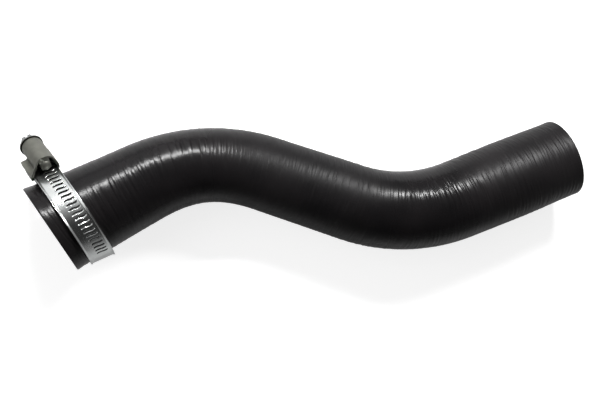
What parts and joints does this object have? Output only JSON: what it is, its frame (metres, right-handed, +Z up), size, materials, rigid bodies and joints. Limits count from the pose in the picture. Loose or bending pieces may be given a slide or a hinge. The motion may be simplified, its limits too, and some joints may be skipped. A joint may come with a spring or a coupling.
{
  "type": "charge air hose",
  "caption": "Black moulded rubber air hose with two gentle bends and a tapering bore, and a worm-drive clamp loosely on its wide inlet.",
  "frame": {"origin": "on the floor under the middle of the model's box", "axes": "+Z up from the floor that the hose lies on, +X from the wide inlet to the narrow outlet, so -X is where air comes in"},
  "size_m": [0.2888, 0.076, 0.0506],
  "materials": {
    "hose_rubber": "black rubber, satin, with fine wrap wrinkles round it",
    "band_steel": "bright zinc-plated strip",
    "housing_steel": "dull olive-grey coated sheet",
    "screw_steel": "light grey zinc plating"
  },
  "bodies": {
    "hose": {"hose_body": "hose_rubber", "clamp_band": "band_steel", "clamp_housing": "housing_steel"},
    "screw": {"clamp_screw": "screw_steel"}
  },
  "joints": [
    {"name": "screw_turn", "type": "hinge", "parent": "hose", "child": "screw", "pos_m": [-0.13867, 0.02115, 0.02889], "axis": [-0.467, 0.5684, -0.6773], "continuous": true}
  ]
}
